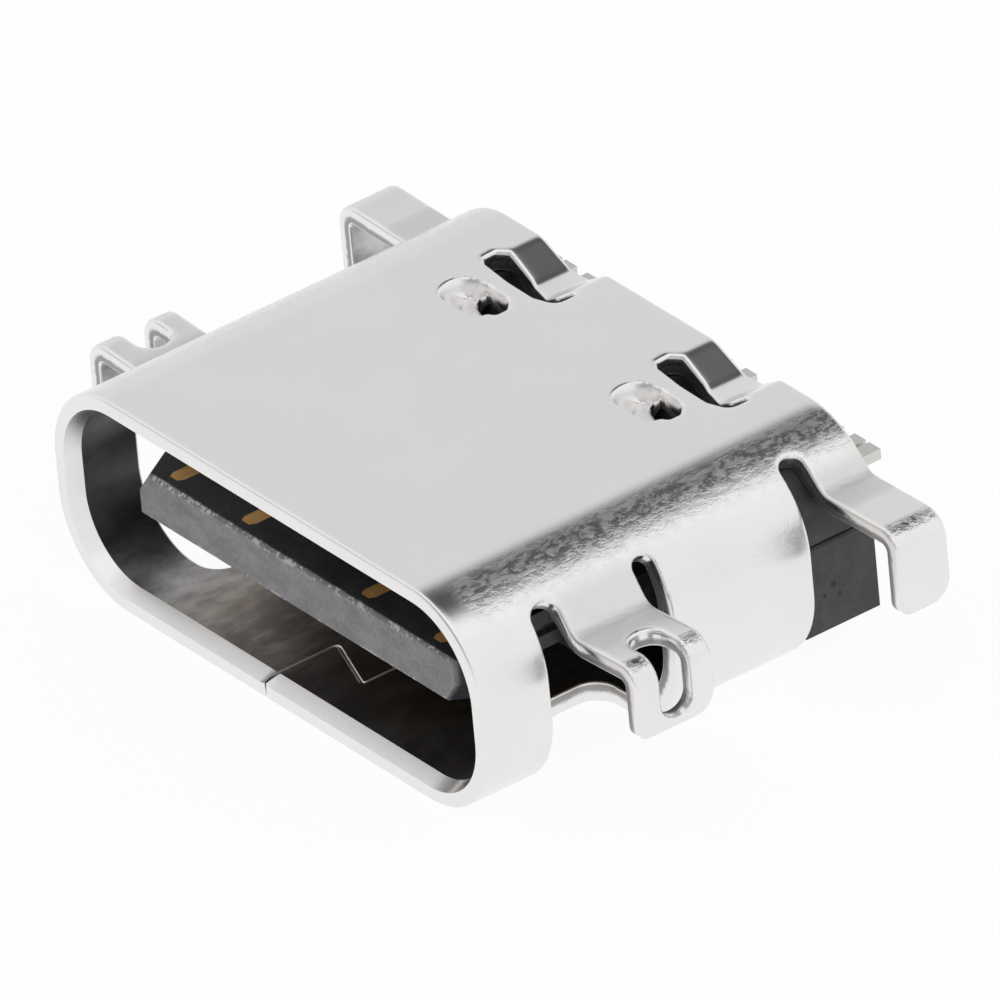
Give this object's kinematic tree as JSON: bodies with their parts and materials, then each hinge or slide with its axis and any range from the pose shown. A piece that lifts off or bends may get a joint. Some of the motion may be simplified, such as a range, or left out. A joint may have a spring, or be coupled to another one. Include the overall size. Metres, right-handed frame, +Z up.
{
  "type": "usb receptacle",
  "caption": "Mid-mount receptacle for a small reversible data and power plug: folded steel shell with soldering legs, black tongue and gold contacts.",
  "frame": {"origin": "centre of the mouth, in the plane of the shell's front rim", "axes": "+Y runs in the way the plug goes, +X to the right of someone who looks into the mouth, +Z up, square to the board"},
  "size_m": [0.0116, 0.0073, 0.0032],
  "materials": {
    "shell_steel": "nickel plated, lightly brushed",
    "plate_steel": "plain stamped",
    "black_moulding": "matt glass-filled moulding",
    "contact_gold": "gold plated"
  },
  "bodies": {
    "root": {"stamped_shell": "shell_steel", "upper_contact_carrier": "black_moulding", "lower_contact_carrier": "black_moulding", "tongue_overmould": "black_moulding", "middle_plate": "plate_steel", "upper_grounding_pad": "plate_steel", "lower_grounding_pad": "plate_steel", "upper_inner_signal_contact_left": "contact_gold", "upper_inner_signal_contact_right": "contact_gold", "upper_outer_signal_contact_left": "contact_gold", "upper_outer_signal_contact_right": "contact_gold", "upper_power_contact_left": "contact_gold", "upper_power_contact_right": "contact_gold", "upper_ground_contact_left": "contact_gold", "upper_ground_contact_right": "contact_gold", "lower_inner_signal_contact_left": "contact_gold", "lower_inner_signal_contact_right": "contact_gold", "lower_outer_signal_contact_left": "contact_gold", "lower_outer_signal_contact_right": "contact_gold", "lower_power_contact_left": "contact_gold", "lower_power_contact_right": "contact_gold", "lower_ground_contact_left": "contact_gold", "lower_ground_contact_right": "contact_gold"}
  },
  "joints": []
}
